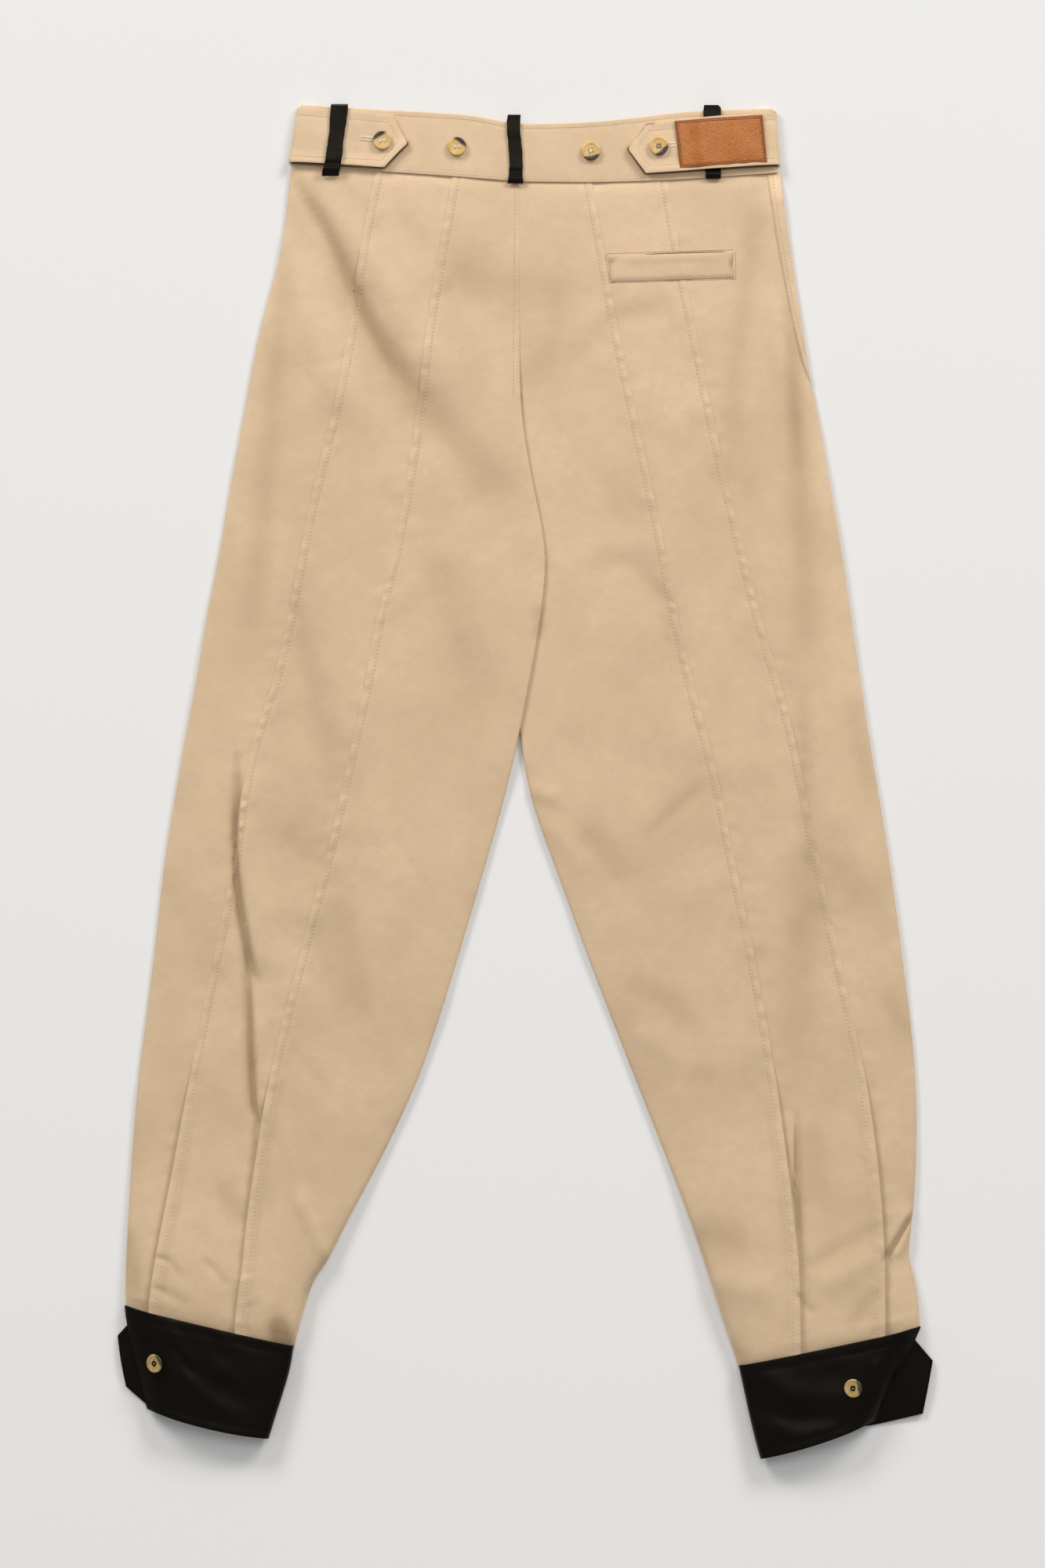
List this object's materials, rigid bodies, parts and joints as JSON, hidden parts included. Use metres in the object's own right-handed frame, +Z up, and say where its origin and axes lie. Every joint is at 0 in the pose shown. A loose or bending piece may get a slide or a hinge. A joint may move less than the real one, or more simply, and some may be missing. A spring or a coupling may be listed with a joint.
{
  "type": "gaucho trousers",
  "caption": "Balloon-leg gaucho trousers in cotton twill, laid flat back side up, with a wide waistband, waist tabs, a welt pocket and leather ankle cuffs.",
  "frame": {"origin": "on the surface the garment lies on, at the middle of its box seen from above", "axes": "+Z up from that surface, +Y from the hems towards the waist, +X towards the wearer's right, the back of the garment facing up"},
  "size_m": [0.634, 1.0524, 0.0199],
  "materials": {
    "twill": "matt cotton twill, cream to light khaki",
    "black_leather": "smooth semi-gloss, black brown",
    "tan_leather": "pebbled, satin, tan brown",
    "horn": "horn look, polished"
  },
  "bodies": {
    "root": {"back_left_outer": "twill", "back_left_middle": "twill", "back_left_inner": "twill", "back_right_inner": "twill", "back_right_middle": "twill", "back_right_outer": "twill", "front_left": "twill", "front_right": "twill", "front_fly": "twill", "waistband_back": "twill", "waistband_front_left": "twill", "waistband_front_right": "twill", "tab_left": "twill", "tab_right": "twill", "pocket_welt": "twill", "loop_left": "black_leather", "loop_centre": "black_leather", "loop_right": "black_leather", "cuff_left": "black_leather", "cuff_right": "black_leather", "patch": "tan_leather", "button_tab_left": "horn", "button_band_left": "horn", "button_band_right": "horn", "button_tab_right": "horn", "button_cuff_left": "horn", "button_cuff_right": "horn"}
  },
  "joints": []
}
